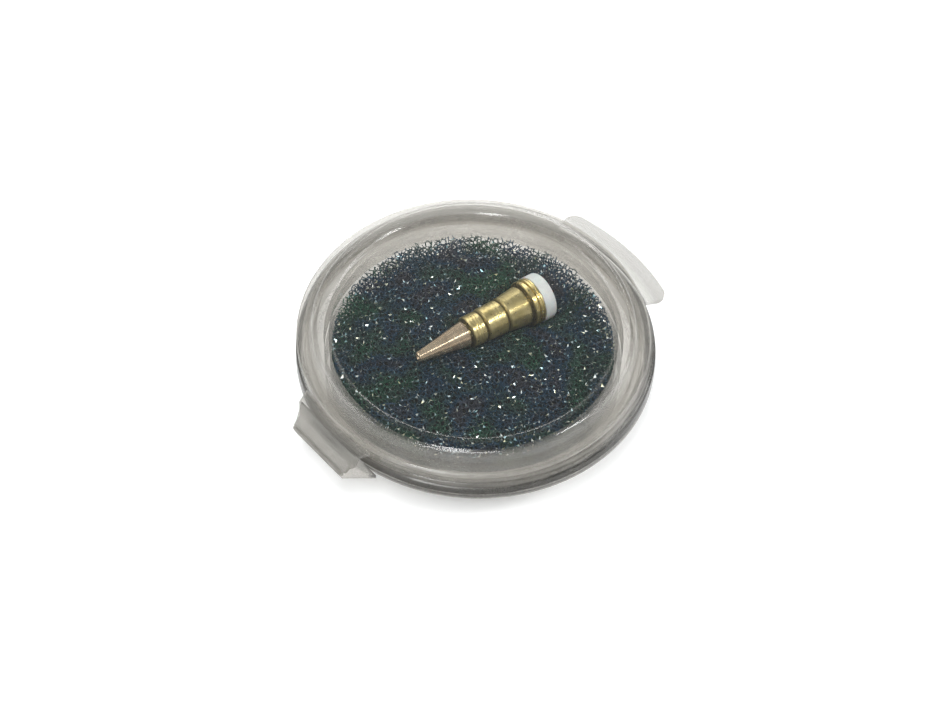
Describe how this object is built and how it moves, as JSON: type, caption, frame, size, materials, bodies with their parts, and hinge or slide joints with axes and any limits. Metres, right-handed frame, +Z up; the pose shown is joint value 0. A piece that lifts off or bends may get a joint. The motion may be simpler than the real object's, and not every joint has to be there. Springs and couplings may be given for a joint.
{
  "type": "oil burner nozzle in storage case",
  "caption": "Turned brass conical-tip nozzle with a white rear seal, resting on a foam pad in a clear round case with a hinged snap lid.",
  "frame": {"origin": "centre of the flat underside of the case's base", "axes": "+Z up through the lid, +X towards the thumb tab, the hinge fold at -X and parallel to Y"},
  "size_m": [0.0465, 0.0408, 0.0105],
  "materials": {
    "case_plastic": "clear moulded polypropylene, slightly hazy",
    "hinge_plastic": "clear moulded polypropylene, thin flexed film",
    "foam": "black open-cell foam",
    "tip_brass": "fine turned, slightly rosy",
    "body_brass": "fine turned with tool marks",
    "seal_white": "matte white PTFE",
    "bronze": "sintered bronze",
    "steel": "plain turned steel"
  },
  "bodies": {
    "base": {"case_base": "case_plastic", "hinge_film": "hinge_plastic", "foam_pad": "foam", "nozzle_tip": "tip_brass", "nozzle_barrel": "body_brass", "nozzle_collar": "body_brass", "seal_ring": "seal_white", "swirl_distributor": "bronze", "lock_screw": "steel", "strainer_disc": "bronze", "strainer_clip": "steel"},
    "lid": {"case_lid": "case_plastic"}
  },
  "joints": [
    {"name": "lid_hinge", "type": "hinge", "parent": "base", "child": "lid", "pos_m": [-0.0224, 0, 0.00535], "axis": [0, -1, 0], "range_deg": [0, 180]}
  ]
}
